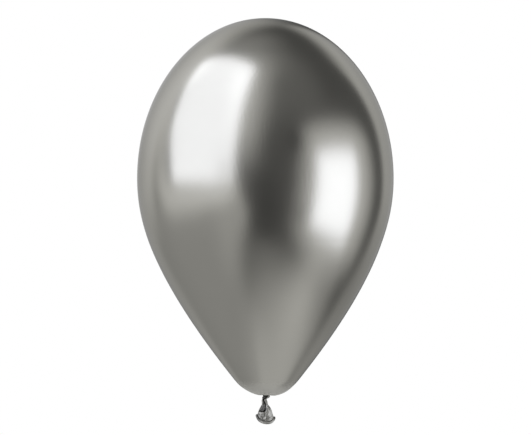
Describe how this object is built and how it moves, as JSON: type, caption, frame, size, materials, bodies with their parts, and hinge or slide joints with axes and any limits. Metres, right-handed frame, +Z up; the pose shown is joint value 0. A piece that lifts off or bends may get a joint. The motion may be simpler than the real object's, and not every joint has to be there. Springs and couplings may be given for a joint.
{
  "type": "satin latex balloon",
  "caption": "Inflated pear-shaped latex balloon with a satin silver film, knotted neck and rolled lip, held by its neck.",
  "frame": {"origin": "waist of the neck just under the knot, on the balloon's axis, where a ribbon is tied", "axes": "+Z up along the balloon's axis to its crown, +X to the right in the picture, +Y away from the viewer"},
  "size_m": [0.33, 0.33, 0.5227],
  "materials": {
    "blown_film": "satin",
    "gathered_film": "satin",
    "lip_film": "satin"
  },
  "bodies": {
    "root": {"envelope": "blown_film", "neck": "gathered_film", "knot": "gathered_film", "skirt": "gathered_film", "rolled_lip": "lip_film"}
  },
  "joints": []
}
